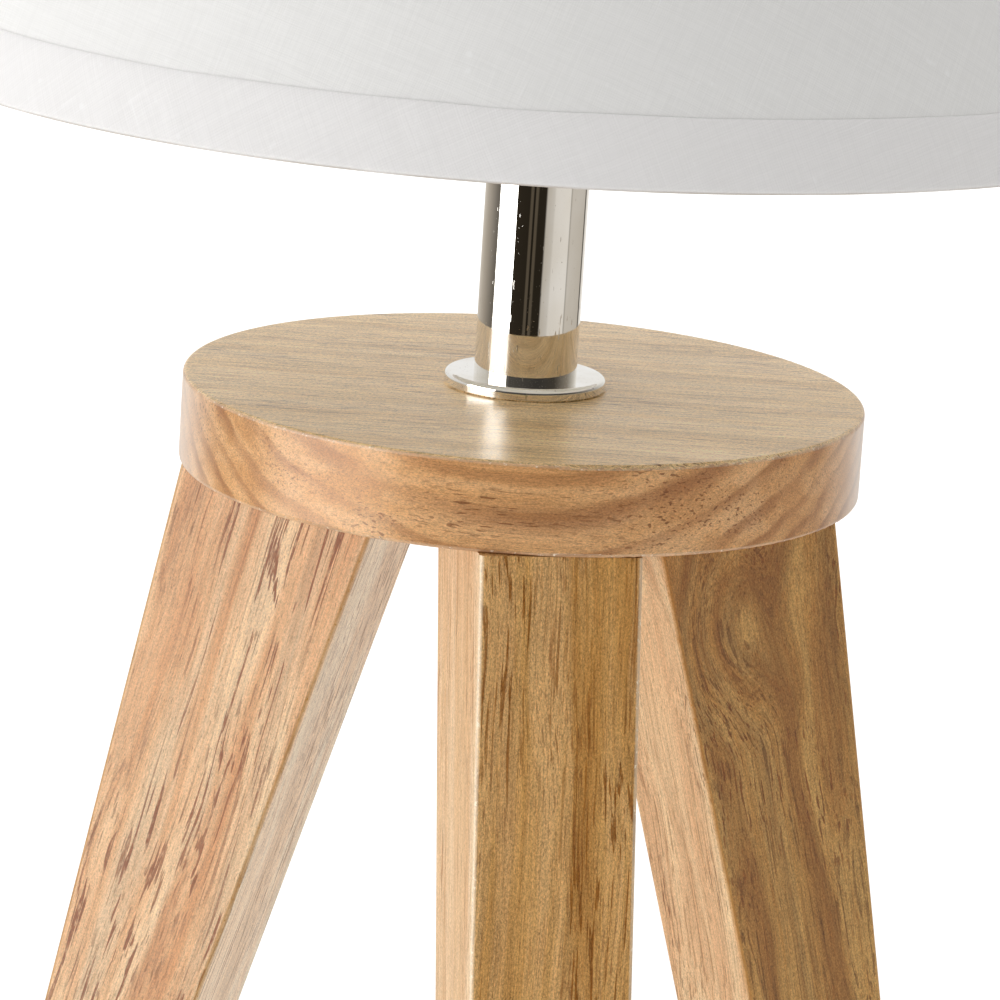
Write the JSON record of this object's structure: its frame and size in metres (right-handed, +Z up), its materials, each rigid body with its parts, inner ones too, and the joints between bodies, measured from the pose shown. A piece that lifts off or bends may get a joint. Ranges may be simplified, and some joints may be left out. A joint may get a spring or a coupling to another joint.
{
  "type": "tripod lamp",
  "caption": "Tripod lamp with tapered wooden legs under a round wooden hub, a short metal stem and a conical fabric shade.",
  "frame": {"origin": "on the floor, on the lamp's vertical axis, in the middle of the three feet", "axes": "+Z up along the stem; the front leg points along -Y, and the other two lie 120 degrees either way from it"},
  "size_m": [0.2012, 0.2012, 0.4055],
  "materials": {
    "hub_wood": "satin varnished, pale tan",
    "leg_wood": "satin varnished, warm tan with brown streaks",
    "chrome": "bright chrome plate",
    "zinc_steel": "zinc plated",
    "brass": "plain brass",
    "nickel": "nickel plated",
    "white_plastic": "semi-gloss white",
    "black_glass": "glossy black",
    "ceramic": "unglazed white",
    "circuit_board": "white solder mask",
    "opal_globe": "opal",
    "felt": "dark felt",
    "shade_cotton": "white plain weave",
    "hem_tape": "white bias tape",
    "liner_plastic": "translucent white",
    "white_wire": "white powder coat"
  },
  "bodies": {
    "stand": {"hub_disc": "hub_wood", "leg_front": "leg_wood", "leg_left": "leg_wood", "leg_right": "leg_wood", "hanger_bolts": "zinc_steel", "threaded_inserts": "zinc_steel", "foot_pads": "felt", "base_flange": "chrome", "stem_tube": "chrome", "threaded_pipe": "zinc_steel", "pipe_washer": "zinc_steel", "lock_washer": "zinc_steel", "pipe_nut": "brass", "cord_bush": "white_plastic", "holder_cap": "white_plastic", "holder_grub_screw": "zinc_steel", "holder_shell": "white_plastic", "holder_insert": "ceramic", "contact_sleeve": "brass", "centre_contact": "brass", "terminal_screws": "brass"},
    "shade": {"shade_fabric": "shade_cotton", "shade_liner": "liner_plastic", "lower_ring": "white_wire", "upper_ring": "white_wire", "lower_hem": "hem_tape", "upper_hem": "hem_tape", "shade_seam": "shade_cotton", "fitter_ring": "white_wire", "fitter_arms": "white_wire"},
    "clamp_ring": {"shade_ring": "white_plastic"},
    "bulb_glass": {"bulb_globe": "opal_globe"},
    "bulb_base": {"bulb_housing": "white_plastic", "bulb_cap": "nickel", "bulb_insulator": "black_glass", "bulb_contact": "nickel", "bulb_led_board": "circuit_board"}
  },
  "joints": [
    {"name": "shade_turn", "type": "hinge", "parent": "stand", "child": "shade", "pos_m": [0, 0, 0.2929], "axis": [0, 0, 1], "continuous": true},
    {"name": "shade_ring_lift", "type": "slide", "parent": "stand", "child": "clamp_ring", "axis": [0, 0, 1], "range_m": [0, 0.01]},
    {"name": "bulb_lift", "type": "slide", "parent": "stand", "child": "bulb_glass", "axis": [0, 0, 1], "range_m": [0, 0.01415]},
    {"name": "bulb_turn", "type": "hinge", "parent": "bulb_glass", "child": "bulb_base", "pos_m": [0, 0, 0.305], "axis": [0, 0, 1], "range_deg": [0, 1800]}
  ],
  "couplings": [
    {"joint": "bulb_lift", "follows": "bulb_turn", "m_per_rad": 0.00044882}
  ]
}
